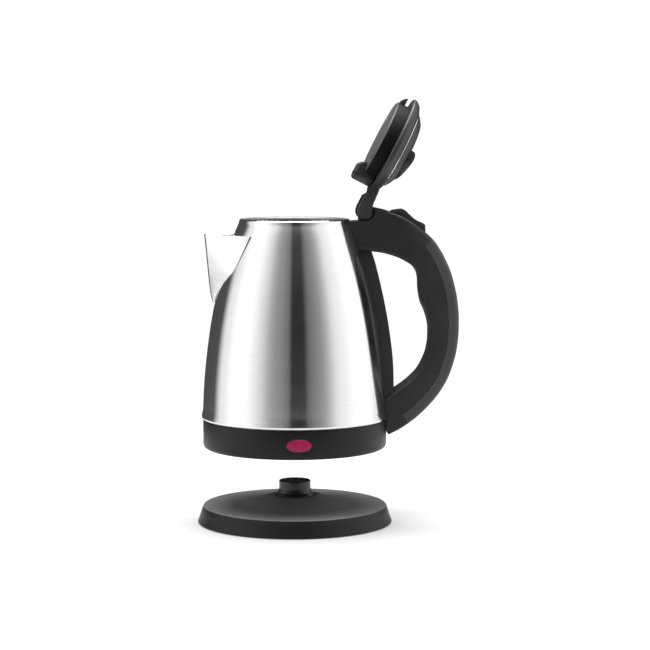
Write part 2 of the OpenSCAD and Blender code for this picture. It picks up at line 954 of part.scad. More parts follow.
module base_top() {
    color(base_grey)
    difference() {
        union() {
            rotate_extrude()
            polygon([
                [base_r, skirt_gap], [base_r - 1.1, 3], [base_r - 2.4, 6.8], [base_r - 3.5, 10.6],
                [base_r - 4.2, 13.2], [base_r - 4.8, base_h - 0.3], [base_r - 5.8, base_h], [45.4, base_h],
                [43.8, base_h + 0.3], [23, cone_top - 0.8], [21.4, cone_top - 0.2], [18.1, cone_top],
                [17.6, cone_top - 0.5], [16.2, cone_top - 0.5],
                [16.2, cone_top - 2.8], [21.6, cone_top - 2.8], [43.4, base_h - base_wall + 0.2],
                [45.2, base_h - base_wall], [base_r - 6.8, base_h - base_wall], [base_r - 6, 10.6],
                [base_r - 4.8, 6.8], [base_r - 3.4, 3], [base_r - 2.3, skirt_gap]
            ]);
            at_base_posts()
            translate([0, 0, 3.1]) cylinder(r = 3.6, h = base_h - 4, $fn = 48);
        }
        at_base_posts() cylinder(r = screw_hole_r, h = 12, $fn = 48);
        translate([0, 0, gland_z]) along_y(gland_r + seat_gap, 60, 90);
    }
}

plate_under = 0.5;
plate_top = 2.9;
foot_ring = 60;
foot_r = 6.5;

module at_feet() {
    for (a = [45, 135, 225, 315])
        rotate([0, 0, a])
        translate([foot_ring, 0, 0])
        children();
}

clamp_y = 54;
clamp_screw_x = 8;
clamp_foot = 7.6;
clamp_ear = 9.8;

module base_bottom() {
    color(dark_plastic)
    difference() {
        union() {
            translate([0, 0, plate_under]) cylinder(r = base_r - 3.8, h = plate_top - plate_under);
            washer(19.6, 17, plate_top - 0.5, cone_top - 5.1);
            for (side = [-1, 1])
                translate([side * clamp_screw_x, clamp_y, plate_top - 0.5])
                cylinder(r = 2.6, h = clamp_foot - plate_top + 0.45, $fn = 48);
        }
        at_feet()
        cylinder(r = foot_r + seat_gap, h = 2);
        at_base_posts() {
            cylinder(r = 1.7, h = 10, $fn = 48);
            cylinder(r = 3.4, h = 2, $fn = 48);
        }
        translate([0, 0, gland_z]) along_y(gland_r + seat_gap, 60, 90);
        for (side = [-1, 1])
            translate([side * clamp_screw_x, clamp_y, 1.2]) cylinder(r = 1.3, h = 12, $fn = 48);
        // Way for the lead into the connector
        block([-4, 10, 6], [4, 25, 13]);
    }
}

// Column with a bevelled foot and two ring slots round the earth hole
module base_connector() {
    slot_foot = column_h - 12.6;
    color("#1d1e20")
    rotate_extrude()
    polygon([
        [2.3, 14], [15.8, 14], [15.8, cone_top - 4.9], [20.4, cone_top - 4.9], [20.4, cone_top - 3],
        [15.8, cone_top - 3], [15.8, cone_top], [14.4, cone_top + 2], [column_r + 0.1, cone_top + 5.2],
        [column_r, cone_top + 5.8], [column_r, column_h - 0.9], [column_r - 0.3, column_h - 0.3],
        [column_r - 0.9, column_h],
        [11.5, column_h], [11.3, column_h - 0.3], [11.3, slot_foot], [9.2, slot_foot],
        [9.2, column_h - 0.3],
        [9, column_h], [7.4, column_h], [7.2, column_h - 0.3], [7.2, slot_foot], [4.9, slot_foot],
        [4.9, column_h - 0.3], [4.6, column_h], [2.6, column_h], [2.3, column_h - 0.3]
    ]);
}

module live_ring() {
    color(brass)
    washer(11.2, 10.8, column_h - 12.5, column_h - 4);
}

module neutral_ring() {
    color(brass)
    washer(7.1, 6.6, column_h - 12.5, column_h - 4);
}

module earth_sleeve() {
    color(brass)
    washer(2.2, 1.8, 15, column_h - 2, $fn = 48);
}

module base_feet() {
    color("#55565a")
    at_feet()
    cylinder(r = foot_r, h = 1.9);
}

module base_screws() {
    color("silver")
    at_base_posts()
    translate([0, 0, 1.95]) screw(screw_r, 8.5, 3, 1.2, $fn = 48);
}

module cord_gland() {
    color("#1d1e20")
    difference() {
        translate([0, 0, gland_z]) along_y(gland_r, 64, 78.3);
        translate([0, 0, gland_z]) along_y(lead_r, 60, 90);
    }
}

// Saddle over the lead, with an arch between its two ears
module cord_clamp() {
    color("#e8e4d8")
    difference() {
        translate([0, clamp_y, 0]) {
            block([-11.5, -3, clamp_foot], [11.5, 3, clamp_ear]);
            block([-5.2, -3, clamp_foot], [5.2, 3, clamp_ear + 2]);
        }
        translate([0, 0, gland_z]) along_y(lead_r, 40, 70);
        for (side = [-1, 1])
            translate([side * clamp_screw_x, clamp_y, 0]) cylinder(r = 1.5, h = 20, $fn = 48);
    }
}

module clamp_screws() {
    color("silver")
    for (side = [-1, 1])
        translate([side * clamp_screw_x, clamp_y, clamp_ear + 0.05])
        rotate([180, 0, 0]) screw(1.25, 8, 2.4, 1.2, $fn = 48);
}

// ---------- Assembly ----------

body_shell();
spout();
vessel_floor();
heat_spreader();
heating_element();
controller();
boil_dry_discs();
controller_screws();
lower_ring();
foot_gasket();
bottom_cover();
cover_screws();
indicator_lens();
indicator_lamp();
handle_shell();
handle_cover();
handle_strap();
handle_screws();
screw_seals();
steam_switch();
steam_disc();
wire_harness();
hinge_pin();
rocker_pin();
switch_rocker();
lid_flange();
lid_trim_ring();
lid_cap();
lid_inner();
lid_steam_duct();
lid_screws();
lid_latch();
thumb_ridge();
base_socket();
socket_rings();
earth_pin();
base_top();
base_bottom();
base_connector();
live_ring();
neutral_ring();
earth_sleeve();
base_feet();
base_screws();
cord_gland();
cord_clamp();
clamp_screws();
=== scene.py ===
import json
import math

import bmesh
import bpy
from mathutils import Matrix, Vector


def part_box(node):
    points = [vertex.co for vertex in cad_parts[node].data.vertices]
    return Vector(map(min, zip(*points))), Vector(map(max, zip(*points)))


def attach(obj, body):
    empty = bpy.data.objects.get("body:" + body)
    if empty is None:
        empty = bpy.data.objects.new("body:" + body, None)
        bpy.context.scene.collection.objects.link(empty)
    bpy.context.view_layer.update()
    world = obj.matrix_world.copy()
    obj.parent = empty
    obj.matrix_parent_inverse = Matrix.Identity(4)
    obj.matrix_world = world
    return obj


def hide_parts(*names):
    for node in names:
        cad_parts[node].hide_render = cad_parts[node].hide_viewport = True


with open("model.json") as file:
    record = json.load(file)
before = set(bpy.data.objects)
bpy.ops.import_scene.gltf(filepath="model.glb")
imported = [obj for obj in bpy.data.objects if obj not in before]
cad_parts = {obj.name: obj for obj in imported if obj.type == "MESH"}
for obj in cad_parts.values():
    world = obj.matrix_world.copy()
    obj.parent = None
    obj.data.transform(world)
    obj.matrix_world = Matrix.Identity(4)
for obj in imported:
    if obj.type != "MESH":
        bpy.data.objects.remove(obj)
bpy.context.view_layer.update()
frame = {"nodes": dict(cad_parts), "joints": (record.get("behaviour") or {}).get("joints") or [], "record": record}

# Profiles are in millimetres: r or x from the kettle's axis, and k above the kettle's underside.
MM = 0.001
JOINTS = {j["name"]: j for j in frame["joints"]}
KETTLE_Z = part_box("lower_ring")[0].z
HINGE = Vector(JOINTS["lid_hinge"]["pos_m"])
LID_OPEN = -math.radians(JOINTS["lid_hinge"]["range_deg"][0])
# Height of the hinge pin above the underside of the closed lid's flange
HINGE_RISE = 5.6 * MM

# ---------- Curves ----------


def smooth(points, steps=6):
    """Catmull-Rom curve through 2D or 3D points."""
    p = [Vector(q) for q in points]
    out = []
    for i in range(len(p) - 1):
        a, b, c, d = p[max(i - 1, 0)], p[i], p[i + 1], p[min(i + 2, len(p) - 1)]
        for s in range(steps):
            t = s / steps
            out.append(0.5 * (2 * b + (c - a) * t + (2 * a - 5 * b + 4 * c - d) * t**2
                              + (3 * b - a - 3 * c + d) * t**3))
    out.append(p[-1])
    return out


def points(*pairs):
    """Points of a line or outline as vectors."""
    return [Vector(pair) for pair in pairs]


def rounded(corners):
    """Closed outline of (x, y, radius) corners, each turned into an arc."""
    steps = 5
    out = []
    n = len(corners)
    for i, (x, y, r) in enumerate(corners):
        p = Vector((x, y))
        if r <= 0:
            out.append(p)
            continue
        to_prev = Vector(corners[i - 1][:2]) - p
        to_next = Vector(corners[(i + 1) % n][:2]) - p
        half = to_prev.angle(to_next) / 2
        cut = min(r / math.tan(half), 0.49 * to_prev.length, 0.49 * to_next.length)
        radius = cut * math.tan(half)
        a, b = p + to_prev.normalized() * cut, p + to_next.normalized() * cut
        inward = (to_prev.normalized() + to_next.normalized()).normalized()
        centre = p + inward * (radius / math.sin(half))
        start, end = (a - centre), (b - centre)
        turn = start.angle_signed(end)
        for s in range(steps + 1):
            out.append(centre + Matrix.Rotation(-turn * s / steps, 2) @ start)
    return out


def arc(cx, cy, r, start, end, steps):
    """Points on an arc, angles in degrees."""
    angles = [math.radians(start + (end - start) * i / steps) for i in range(steps + 1)]
    return [Vector((cx + r * math.cos(a), cy + r * math.sin(a))) for a in angles]


def offset(line, d):
    """An open line moved to its right by d."""
    out = []
    for i, p in enumerate(line):
        v = line[min(i + 1, len(line) - 1)] - line[max(i - 1, 0)]
        out.append(p + Vector((v.y, -v.x)).normalized() * d)
    return out


def lookup(table, key):
    """Value at key in a list of (key, value) pairs that rise in key."""
    for (k0, v0), (k1, v1) in zip(table, table[1:]):
        if key <= k1:
            return v0 + (v1 - v0) * max(0.0, key - k0) / (k1 - k0)
    return table[-1][1]


# ---------- Making meshes ----------


def make(name, verts, faces, sharp=35):
    """A mesh object from points in metres, shaded smooth apart from edges sharper than the angle."""
    mesh = bpy.data.meshes.new(name)
    mesh.from_pydata([tuple(v) for v in verts], [], faces)
    mesh.validate()
    bm = bmesh.new()
    bm.from_mesh(mesh)
    bmesh.ops.recalc_face_normals(bm, faces=bm.faces)
    bm.to_mesh(mesh)
    bm.free()
    obj = bpy.data.objects.new(name, mesh)
    bpy.context.scene.collection.objects.link(obj)
    shade(obj, sharp)
    return obj


def shade(obj, sharp=35):
    """Smooth shading apart from edges sharper than the angle."""
    mesh = obj.data
    mesh.polygons.foreach_set("use_smooth", [True] * len(mesh.polygons))
    mesh.set_sharp_from_angle(angle=math.radians(sharp))


def lathe(name, outline, base_z=KETTLE_Z, segments=160):
    """Closed (r, k) outline in millimetres turned about the kettle's axis, k counting from base_z."""
    axis = [i for i, p in enumerate(outline) if abs(p[0]) < 1e-6]
    verts, faces, ring = [], [], []
    for i, p in enumerate(outline):
        z = base_z + p[1] * MM
        if i in axis:
            ring.append([len(verts)] * segments)
            verts.append((0, 0, z))
            continue
        ring.append(list(range(len(verts), len(verts) + segments)))
        for s in range(segments):
            a = 2 * math.pi * s / segments
            verts.append((p[0] * MM * math.cos(a), p[0] * MM * math.sin(a), z))
    for i in range(len(outline)):
        j = (i + 1) % len(outline)
        if i in axis and j in axis:
            continue
        for s in range(segments):
            t = (s + 1) % segments
            quad = [ring[i][s], ring[i][t], ring[j][t], ring[j][s]]
            faces.append([v for n, v in enumerate(quad) if v not in quad[:n]])
    return make(name, verts, faces)


def loft(name, rings, sharp=35):
    """Closed solid through rings of equally many points, in metres."""
    m = len(rings[0])
    verts = [p for ring in rings for p in ring]
    faces = [[j * m + i, j * m + (i + 1) % m, (j + 1) * m + (i + 1) % m, (j + 1) * m + i]
             for j in range(len(rings) - 1) for i in range(m)]
    faces.append(list(range(m))[::-1])
    faces.append([(len(rings) - 1) * m + i for i in range(m)])
    return make(name, verts, faces, sharp)


def side_slab(name, outline, half_w, bevel=0.0, steps=3, to_world=None):
    """An outline in (x, k) millimetres, made thick about the middle plane, with rounded edges.

    It stands at the kettle's height unless a matrix says where it goes.
    """
    n = len(outline)
    verts = [Vector((p[0] * MM, s * half_w * MM, p[1] * MM)) for s in (-1, 1) for p in outline]
    faces = [list(range(n)), [n + i for i in range(n)][::-1]]
    faces += [[i, n + i, n + (i + 1) % n, (i + 1) % n] for i in range(n)]
    obj = make(name, verts, faces)
    if bevel:
        round_edges(obj, bevel, steps)
    place(obj, to_world or Matrix.Translation((0, 0, KETTLE_Z)))
    return obj


def round_edges(obj, width, steps=3, angle=40):
    """Rounds the edges sharper than the angle, in the mesh itself."""
    bm = bmesh.new()
    bm.from_mesh(obj.data)
    edges = [e for e in bm.edges if len(e.link_faces) == 2 and e.calc_face_angle() > math.radians(angle)]
    bmesh.ops.bevel(bm, geom=edges, offset=width * MM, segments=steps, profile=0.5, affect="EDGES",
                    clamp_overlap=True)
    bm.to_mesh(obj.data)
    bm.free()
    shade(obj)


def place(obj, matrix):
    """Moves the mesh itself, so that the object stays at the origin."""
    obj.data.transform(matrix)
    obj.data.update()


def cut(obj, *tools, operation="DIFFERENCE", sharp=35):
    """Boolean of obj with each tool, applied to its mesh. The tools are removed."""
    for tool in tools:
        mod = obj.modifiers.new("cut", "BOOLEAN")
        mod.operation, mod.solver, mod.object = operation, "EXACT", tool
        deps = bpy.context.evaluated_depsgraph_get()
        mesh = bpy.data.meshes.new_from_object(obj.evaluated_get(deps))
        obj.modifiers.remove(mod)
        obj.data = mesh
        bpy.data.objects.remove(tool)
    shade(obj, sharp)
    return obj


def copy_of(obj, name):
    """A second object with a mesh of its own."""
    twin = obj.copy()
    twin.data = obj.data.copy()
    twin.name = name
    bpy.context.scene.collection.objects.link(twin)
    return twin


def join(objs):
    """Joins meshes into the first one."""
    bm = bmesh.new()
    for o in objs:
        bm.from_mesh(o.data)
    bm.to_mesh(objs[0].data)
    bm.free()
    for o in objs[1:]:
        bpy.data.objects.remove(o)
    return objs[0]


def cylinder_between(name, start, end, r, segments=32):
    """Round bar between two points in metres, for cutting holes."""
    start, end = Vector(start), Vector(end)
    turn = (end - start).to_track_quat("Z", "Y").to_matrix().to_4x4()
    length = (end - start).length
    angles = [2 * math.pi * i / segments for i in range(segments)]
    ring = [Vector((r * math.cos(a), r * math.sin(a), 0)) for a in angles]
    rings = [[start + turn @ (p + Vector((0, 0, z))) for p in ring] for z in (0, length)]
    return loft(name, rings)


def finish_piece(obj, body, slot, material, *nodes):
    """Gives a piece its material and body, and lets it stand for the CAD nodes named. The slot argument is not
    used.
    """
    obj.data.materials.clear()
    obj.data.materials.append(material)
    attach(obj, body)
    if nodes:
        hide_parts(*nodes)
    return obj


def second_material(obj, material, chosen):
    """Gives another material to the faces that the test picks."""
    obj.data.materials.append(material)
    for face in obj.data.polygons:
        if chosen(face):
            face.material_index = 1


# ---------- Materials ----------


class Nodes:
    """Short way to build a node tree."""

    def __init__(self, tree):
        """Starts with an empty tree."""
        self.tree = tree
        tree.nodes.clear()

    def add(self, kind, inputs=None, **settings):
        """A new node. An input is either a value or the socket that feeds it."""
        node = self.tree.nodes.new(kind)
        for key, value in settings.items():
            setattr(node, key, value)
        for key, value in (inputs or {}).items():
            if isinstance(value, bpy.types.NodeSocket):
                self.tree.links.new(value, node.inputs[key])
            else:
                node.inputs[key].default_value = value
        return node


def new_material(name):
    """A material and an empty node tree for it."""
    mat = bpy.data.materials.new(name)
    mat.use_nodes = True
    return mat, Nodes(mat.node_tree)


def grain(n, scale, detail=2.0, stretch=(1, 1, 1)):
    """Noise in the object's own space."""
    where = n.add("ShaderNodeTexCoord").outputs["Object"]
    mapped = n.add("ShaderNodeMapping", {"Vector": where, "Scale": stretch}).outputs["Vector"]
    noise = n.add("ShaderNodeTexNoise", {"Vector": mapped, "Scale": scale, "Detail": detail})
    return noise.outputs["Fac"]


def spread(n, value, low, high):
    """A noise value mapped to a range."""
    node = n.add("ShaderNodeMapRange", {"Value": value, "From Min": 0.3, "From Max": 0.7,
                                        "To Min": low, "To Max": high})
    return node.outputs["Result"]


def tinted(n, value, dark, light):
    """A noise value mapped between two colours."""
    ramp = n.add("ShaderNodeValToRGB", {"Fac": value})
    ramp.color_ramp.elements[0].position, ramp.color_ramp.elements[0].color = 0.3, (*dark, 1)
    ramp.color_ramp.elements[1].position, ramp.color_ramp.elements[1].color = 0.7, (*light, 1)
    return ramp.outputs["Color"]


def moulded(name, color, rough=0.42, texture=0.00002, grain_scale=2600.0, specular=0.5):
    """Moulded plastic: faint colour drift, fine spark-eroded texture and uneven gloss."""
    mat, n = new_material(name)
    drift = grain(n, 35.0, 3.0)
    fine = grain(n, grain_scale, 2.0)
    bump = n.add("ShaderNodeBump", {"Height": fine, "Distance": texture, "Strength": 0.8})
    shader = n.add("ShaderNodeBsdfPrincipled", {
        "Base Color": tinted(n, drift, [c * 0.88 for c in color], [min(c * 1.12, 1) for c in color]),
        "Roughness": spread(n, drift, rough - 0.03, rough + 0.04),
        "Specular IOR Level": specular,
        "Normal": bump.outputs["Normal"]})
    n.add("ShaderNodeOutputMaterial", {"Surface": shader.outputs["BSDF"]})
    return mat


def metal(name, color, rough, scratch=(1, 1, 1), scratch_scale=900.0):
    """Plain metal with fine scratches along one direction."""
    mat, n = new_material(name)
    lines = grain(n, scratch_scale, 3.0, scratch)
    bump = n.add("ShaderNodeBump", {"Height": lines, "Distance": 0.00001, "Strength": 0.5})
    shader = n.add("ShaderNodeBsdfPrincipled", {
        "Base Color": tinted(n, lines, [c * 0.93 for c in color], [min(c * 1.05, 1) for c in color]),
        "Metallic": 1.0,
        "Roughness": spread(n, lines, rough * 0.85, rough * 1.2),
        "Normal": bump.outputs["Normal"]})
    n.add("ShaderNodeOutputMaterial", {"Surface": shader.outputs["BSDF"]})
    return mat


def brushed_steel():
    """Stainless sheet with a fine grain round the body, which smears reflections up and down."""
    mat, n = new_material("brushed_steel")
    lines = grain(n, 90.0, 3.0, (1, 1, 60))
    broad = grain(n, 5.0, 2.0, (1, 1, 8))
    bump = n.add("ShaderNodeBump", {"Height": lines, "Distance": 0.000002, "Strength": 0.3})
    round_axis = n.add("ShaderNodeTangent", direction_type="RADIAL", axis="Z")
    shader = n.add("ShaderNodeBsdfPrincipled", {
        "Base Color": tinted(n, lines, (0.74, 0.74, 0.742), (0.8, 0.8, 0.8)),
        "Metallic": 1.0,
        "Roughness": spread(n, broad, 0.135, 0.165),
        "Anisotropic": 0.8,
        "Anisotropic Rotation": 0.25,
        "Normal": bump.outputs["Normal"],
        "Tangent": round_axis.outputs["Tangent"]})
    n.add("ShaderNodeOutputMaterial", {"Surface": shader.outputs["BSDF"]})
    return mat


def lens_red():
    """Deep red plastic with faint upright ribs."""
    mat, n = new_material("lens_red")
    ribs = grain(n, 900.0, 1.0, (1, 1, 0.05))
    shader = n.add("ShaderNodeBsdfPrincipled", {
        "Base Color": tinted(n, ribs, (0.26, 0.006, 0.05), (0.34, 0.01, 0.07)),
        "Roughness": 0.35,
        "Specular IOR Level": 0.3})
    n.add("ShaderNodeOutputMaterial", {"Surface": shader.outputs["BSDF"]})
    return mat


MATS = {}


def make_materials():
    """Fills MATS: a material for each slot in the record, and more for single pieces and faces."""
    MATS["steel"] = brushed_steel()
    # Duller, rougher steel, darker than the sheet as painted shade: inside the body and on the spout's welds
    MATS["dull_steel_painted_shade"] = metal("dull_steel_painted_shade", (0.2, 0.2, 0.2), 0.5, (1, 1, 8), 200.0)
    MATS["black_plastic"] = moulded("black_plastic", (0.022, 0.022, 0.0225), 0.45, specular=0.24)
    # Darker copy of the black plastic for the low ring: painted shade
    MATS["ring_plastic_painted_shade"] = moulded("ring_plastic_painted_shade", (0.006, 0.006, 0.0062), 0.4, specular=0.24)
    # Lighter than the black plastic: a real separate cover, lightened as painted light from above; also on the
    # lid's arm
    MATS["cover_plastic"] = moulded("cover_plastic", (0.034, 0.034, 0.0345), 0.46, specular=0.42)
    # Lighter than the grip's black plastic: painted light on the handle's top
    MATS["rocker_plastic"] = moulded("rocker_plastic", (0.032, 0.032, 0.0325), 0.4, specular=0.4)
    MATS["under_plastic"] = moulded("under_plastic", (0.018, 0.018, 0.0185), 0.5)
    # Lightened past the other plastics: painted light on the base's top, in place of the overhead lamp the kettle
    # shades off it
    MATS["base_plastic"] = moulded("base_plastic", (0.11, 0.11, 0.111), 0.5, 0.00003, 2200.0, 0.35)
    # Near-black copy of the base's plastic for its side: painted shade
    MATS["base_side_painted_shade"] = moulded("base_side_painted_shade", (0.008, 0.008, 0.0082), 0.4, specular=0.22)
    MATS["connector_plastic"] = moulded("connector_plastic", (0.012, 0.012, 0.0125), 0.3)
    MATS["lid_lining"] = moulded("lid_lining", (0.058, 0.058, 0.06), 0.45, specular=0.35)
    # Near-black, rough copy of the lining's plastic for its skirt: painted shade
    MATS["lid_skirt_painted_shade"] = moulded("lid_skirt_painted_shade", (0.006, 0.006, 0.0062), 0.55, specular=0.12)
    MATS["lid_plastic"] = moulded("lid_plastic", (0.022, 0.022, 0.0225), 0.42)
    MATS["bezel"] = moulded("bezel", (0.012, 0.011, 0.0115), 0.35, specular=0.3)
    MATS["lid_ring"] = metal("lid_ring", (0.9, 0.9, 0.9), 0.12)
    MATS["lens"] = lens_red()
    MATS["lamp"] = moulded("lamp", (0.6, 0.2, 0.05), 0.2, 0.000005)
    MATS["spreader"] = metal("rolled_aluminium", (0.8, 0.8, 0.81), 0.3, (1, 30, 1))
    MATS["element"] = metal("element_sheath", (0.4, 0.37, 0.34), 0.38)
    MATS["cream_plastic"] = moulded("cream_plastic", (0.62, 0.58, 0.47), 0.5)
    MATS["contact_brass"] = metal("contact_brass", (0.75, 0.56, 0.25), 0.25)
    MATS["fasteners"] = metal("zinc_plate", (0.68, 0.68, 0.69), 0.3)
    MATS["pale_rubber"] = moulded("pale_rubber", (0.6, 0.6, 0.58), 0.6)
    MATS["red_rubber"] = moulded("red_rubber", (0.25, 0.05, 0.03), 0.6)
    MATS["feet_rubber"] = moulded("feet_rubber", (0.035, 0.035, 0.036), 0.7)
    MATS["wire_sleeve"] = moulded("wire_sleeve", (0.3, 0.02, 0.012), 0.4)


# ---------- Stage ----------


def make_camera():
    """At the height of the open lid, on the spout's side of straight on, looking down a little."""
    distance, eye_height = 1.71, 0.325
    azimuth, pitch, turn_right = map(math.radians, (-2.65, 5.41, 0.836))
    data = bpy.data.cameras.new("camera")
    data.sensor_width, data.lens = 36.0, 115.8
    camera = bpy.data.objects.new("camera", data)
    bpy.context.scene.collection.objects.link(camera)
    camera.location = (distance * math.sin(azimuth), -distance * math.cos(azimuth), eye_height)
    camera.rotation_euler = (math.pi / 2 - pitch, 0, azimuth - turn_right)
    bpy.context.scene.camera = camera


def make_floor():
    """Round pale board under the base."""
    radius, thick, edge = 520, 12, 3
    outline = rounded([(0, -thick, 0), (radius, -thick, edge), (radius, 0, edge), (0, 0, 0)])
    floor = lathe("floor", outline, 0.0, 96)
    mat, n = new_material("pale_floor")
    mottle = grain(n, 4.0, 3.0)
    shader = n.add("ShaderNodeBsdfPrincipled", {
        "Base Color": tinted(n, mottle, (0.42, 0.42, 0.42), (0.44, 0.44, 0.44)),
        "Emission Color": (1, 1, 1, 1), "Emission Strength": 0.15,
        "Roughness": 0.7, "Specular IOR Level": 0.2})
    n.add("ShaderNodeOutputMaterial", {"Surface": shader.outputs["BSDF"]})
    floor.data.materials.append(mat)


def soft_room():
    """White room for the eye; for reflections, two broad soft walls of light with dark gaps.

    The walls are levels of light at angles in degrees round the kettle: 0 is the viewer's side, and
    +90 the handle's. Towards the ceiling they pass into an even grey.
    """
    world = bpy.data.worlds.new("room")
    bpy.context.scene.world = world
    world.use_nodes = True
    n = Nodes(world.node_tree)
    way = n.add("ShaderNodeTexCoord").outputs["Generated"]
    parts = n.add("ShaderNodeSeparateXYZ", {"Vector": way}).outputs
    back = n.add("ShaderNodeMath", {0: parts["Y"], 1: -1.0}, operation="MULTIPLY").outputs[0]
    around = n.add("ShaderNodeMath", {0: parts["X"], 1: back}, operation="ARCTAN2").outputs[0]
    turn = n.add("ShaderNodeMapRange", {"Value": around, "From Min": -math.pi, "From Max": math.pi})
    ramp = n.add("ShaderNodeValToRGB", {"Fac": turn.outputs[0]})
    behind_left = [(-180, 0.07), (-123, 0.09)]
    left_wall = [(-111, 1.0), (-100, 1.12), (-92, 1.32), (-66, 1.32), (-57, 1.1), (-45, 0.78), (-37, 0.5),
                 (-29, 0.35), (-21, 0.29), (-13, 0.2), (-9.5, 0.16)]
    dark_gap = [(-7.5, 0.02), (10.5, 0.02)]
    right_wall = [(13.5, 0.12), (19, 0.2), (27, 0.27), (35, 0.37), (43, 0.6), (51, 0.93), (59, 1.08),
                  (67, 1.16), (80, 1.35), (104, 1.35), (115, 1.12), (126, 0.98)]
    behind_right = [(130, 0.08), (180, 0.06)]
    stops = behind_left + left_wall + dark_gap + right_wall + behind_right
    elements = ramp.color_ramp.elements
    while len(elements) < len(stops):
        elements.new(0.5)
    for element, (angle, level) in zip(elements, stops):
        element.position = (angle + 180) / 360
        element.color = (level, level, level, 1)
    ramp.color_ramp.interpolation = "LINEAR"
    high = n.add("ShaderNodeMapRange", {"Value": parts["Z"], "From Min": 0.75, "From Max": 0.95},
                 interpolation_type="SMOOTHSTEP").outputs[0]
    top = n.add("ShaderNodeMix", {"Factor": high, "A": ramp.outputs["Color"], "B": (0.5, 0.5, 0.5, 1)},
                data_type="RGBA")
    lit = n.add("ShaderNodeBackground", {"Color": mix_out(top), "Strength": 1.0})
    seen = n.add("ShaderNodeBackground", {"Color": (1, 1, 1, 1), "Strength": 1.02})
    eye = n.add("ShaderNodeLightPath").outputs["Is Camera Ray"]
    both = n.add("ShaderNodeMixShader", {0: eye, 1: lit.outputs[0], 2: seen.outputs[0]})
    n.add("ShaderNodeOutputWorld", {"Surface": both.outputs[0]})


def mix_out(node):
    """The colour result of a Mix node set to RGBA."""
    return next(s for s in node.outputs if s.type == "RGBA")


def area_light(name, place_at, aim, size, power, shows_in_gloss=True):
    """Rectangular lamp in metres and watts, aimed at a point and not seen by the camera."""
    data = bpy.data.lights.new(name, "AREA")
    data.shape, data.size, data.size_y, data.energy = "RECTANGLE", size[0], size[1], power
    light = bpy.data.objects.new(name, data)
    light.location = place_at
    light.rotation_mode = "QUATERNION"
    light.rotation_quaternion = (Vector(aim) - Vector(place_at)).to_track_quat("-Z", "Y")
    light.visible_camera = False
    light.visible_glossy = shows_in_gloss
    bpy.context.scene.collection.objects.link(light)


def make_lights():
    """The room, a lamp above, and one behind that brightens edges without showing in the steel."""
    soft_room()
    area_light("overhead", (0, 0.1, 1.5), (0, 0, 0), (1.6, 1.6), 65)
    area_light("behind", (0, 2.4, 0.9), (0, 0, 0.1), (3.2, 0.9), 22, shows_in_gloss=False)


# ---------- Steel body ----------

# Outside of the body from the bead at its foot to the neck, and the lip rolled over from there
SIDE = smooth([(75.6, 24.4), (76.2, 24.9), (76.5, 25.8), (76.45, 27.2), (76.15, 28.8), (75.75, 30.6),
               (75.4, 33), (74.9, 45), (73.9, 60), (72.4, 75), (70.5, 90), (68.2, 105), (65.3, 120),
               (61.9, 135), (57.8, 150), (53, 165), (48.8, 177), (45.6, 184.6)], 6)
LIP = smooth([(45.25, 186.3), (44.9, 187.3), (44.0, 187.9), (42.6, 188.05), (41.0, 187.9), (40.0, 187.2),
              (39.5, 186), (39.4, 184.6)], 4)
# Thickness of the steel sheet
WALL = 0.8
SIDE_TABLE = [(p[1], p[0]) for p in SIDE]


def side_r(k):
    """Radius of the steel at height k."""
    return lookup(SIDE_TABLE, k)


def steel_outline():
    """Closed outline of the sheet: its outside, and its inside one wall in."""
    outer = SIDE + LIP
    inner = offset(outer, -WALL)
    return outer + inner[::-1]


def steel_blank(grow, reach_down=0.0):
    """Solid of the steel body, for cutting what fits to it. It takes in the ring if it reaches down."""
    line = offset(SIDE, grow)
    foot_r, foot_k, top_k = 75.55 + grow, 24.2, 186
    foot = points((foot_r, -reach_down), (foot_r, foot_k)) if reach_down else []
    bottom = -reach_down if reach_down else 24.4 - grow
    return lathe("steel_blank", foot + line + points((0, top_k), (0, bottom)))


def strainer_holes():
    """Bars that cut the holes through the wall behind the spout, in rows that widen upwards."""
    rows, pitch, first_k = 6, 6.4, 133
    hole_r, reach = 1.6 * MM, 8
    bars = []
    for row in range(rows):
        k = first_k + row * pitch
        z = KETTLE_Z + k * MM
        near, far = (side_r(k) - reach) * MM, (side_r(k) + reach) * MM
        to_side = 1 + row // 2
        step = pitch / side_r(k)
        for j in range(-to_side, to_side + 1):
            a = math.pi + j * step
            bars.append(cylinder_between("hole", (near * math.cos(a), near * math.sin(a), z),
                                         (far * math.cos(a), far * math.sin(a), z), hole_r, 20))
    return join(bars)


def body_shell():
    """Tapered steel shell with the strainer's holes. Its inside is a duller, rougher steel, darkened further as
    painted shade.
    """
    body = lathe("kettle_body", steel_outline(), segments=192)
    cut(body, strainer_holes())
    finish_piece(body, "kettle", "steel", MATS["steel"], "body_shell")
    # Inside faces take the darker steel: painted shade inside the body
    second_material(body, MATS["dull_steel_painted_shade"],
                    lambda face: face.normal.x * face.center.x + face.normal.y * face.center.y < 0)
    return body


# ---------- Spout ----------

SPOUT_FOOT, SPOUT_TOP = 118.0, 175.4
# Half of the turn round the body that the spout takes up at its top
SPOUT_HALF_ANGLE = math.radians(35)
NOSE_R = 6.0
WELD_R = 0.7
# How far the seam bows out of the straight line between its ends
SEAM_BOW = 1.9
# How far the fold stands out from the axis, as (k, x)
NOSE = [(118, 66.3), (121.5, 67.7), (128, 69.2), (139.6, 70.4), (158.5, 72.1), (175.4, 73.8), (177, 73.9)]


def spout_seam(k):
    """Where the spout's sheet meets the body at height k: nearly straight seen from the side."""
    top, foot = side_r(SPOUT_TOP) * math.cos(SPOUT_HALF_ANGLE), side_r(SPOUT_FOOT)
    rise = (k - SPOUT_FOOT) / (SPOUT_TOP - SPOUT_FOOT)
    x = foot + (top - foot) * rise + SEAM_BOW * math.sin(math.pi * min(rise / 0.55, 1))
    return x, math.sqrt(max(side_r(k) ** 2 - x**2, 0.5))


